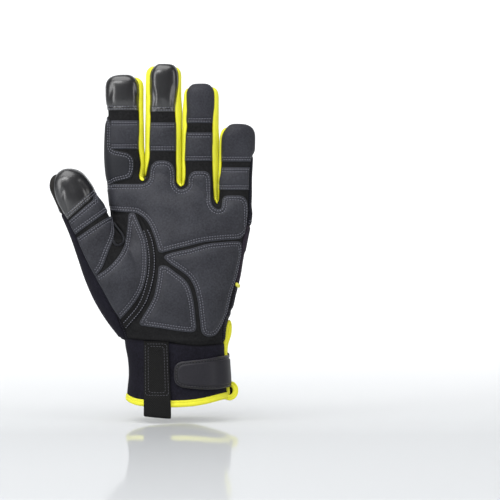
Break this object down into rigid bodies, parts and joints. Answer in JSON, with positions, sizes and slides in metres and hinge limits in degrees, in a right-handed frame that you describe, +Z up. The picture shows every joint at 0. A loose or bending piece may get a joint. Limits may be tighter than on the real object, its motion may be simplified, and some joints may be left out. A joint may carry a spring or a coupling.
{
  "type": "needle-resistant work glove",
  "caption": "Left-hand needle-resistant work glove with padded leather palm patches, hi-vis finger side panels, back piping, wrist strap and pull tab.",
  "frame": {"origin": "middle of the wrist opening, at the height of the hem", "axes": "+Z up from the wrist to the fingertips, +X towards the little finger, the palm faces -Y"},
  "size_m": [0.1488, 0.0606, 0.2606],
  "materials": {
    "suede": "black synthetic suede, napped",
    "leather": "charcoal synthetic leather, fine grain, satin",
    "knit": "black ribbed stretch knit",
    "neoprene": "black jersey-faced neoprene",
    "cloth": "black stretch cloth",
    "yellow": "hi-vis yellow elastane and piping",
    "webbing": "black woven webbing and hook-and-loop",
    "rubber": "black moulded rubber, matte"
  },
  "bodies": {
    "root": {"cuff_band": "cloth", "palm_panel": "suede", "thumb_back_cap": "leather", "thumb_back_panel": "cloth", "index_back_cap": "leather", "middle_back_cap": "leather", "ring_back_cap": "leather", "little_back_cap": "leather", "knit_back_panel": "knit", "neoprene_back_panel": "neoprene", "elastic_back_panel": "knit", "fourchette_index_middle": "yellow", "fourchette_middle_ring": "yellow", "fourchette_ring_little": "yellow", "index_tip_patch": "leather", "index_middle_patch": "leather", "middle_tip_patch": "leather", "middle_middle_patch": "leather", "ring_tip_patch": "leather", "ring_middle_patch": "leather", "little_tip_patch": "leather", "little_middle_patch": "leather", "thumb_tip_patch": "leather", "thumb_strip_patch": "leather", "upper_palm_pad": "leather", "thenar_patch": "leather", "thumb_pad": "leather", "hypothenar_pad": "leather", "heel_pad": "leather", "suede_band": "suede", "index_side_patch": "leather", "back_piping": "yellow", "hem_binding": "yellow", "slit_binding": "yellow", "closure_strap": "webbing", "strap_grip_plate": "rubber", "strap_back_plate": "rubber", "pull_tab": "webbing"}
  },
  "joints": []
}
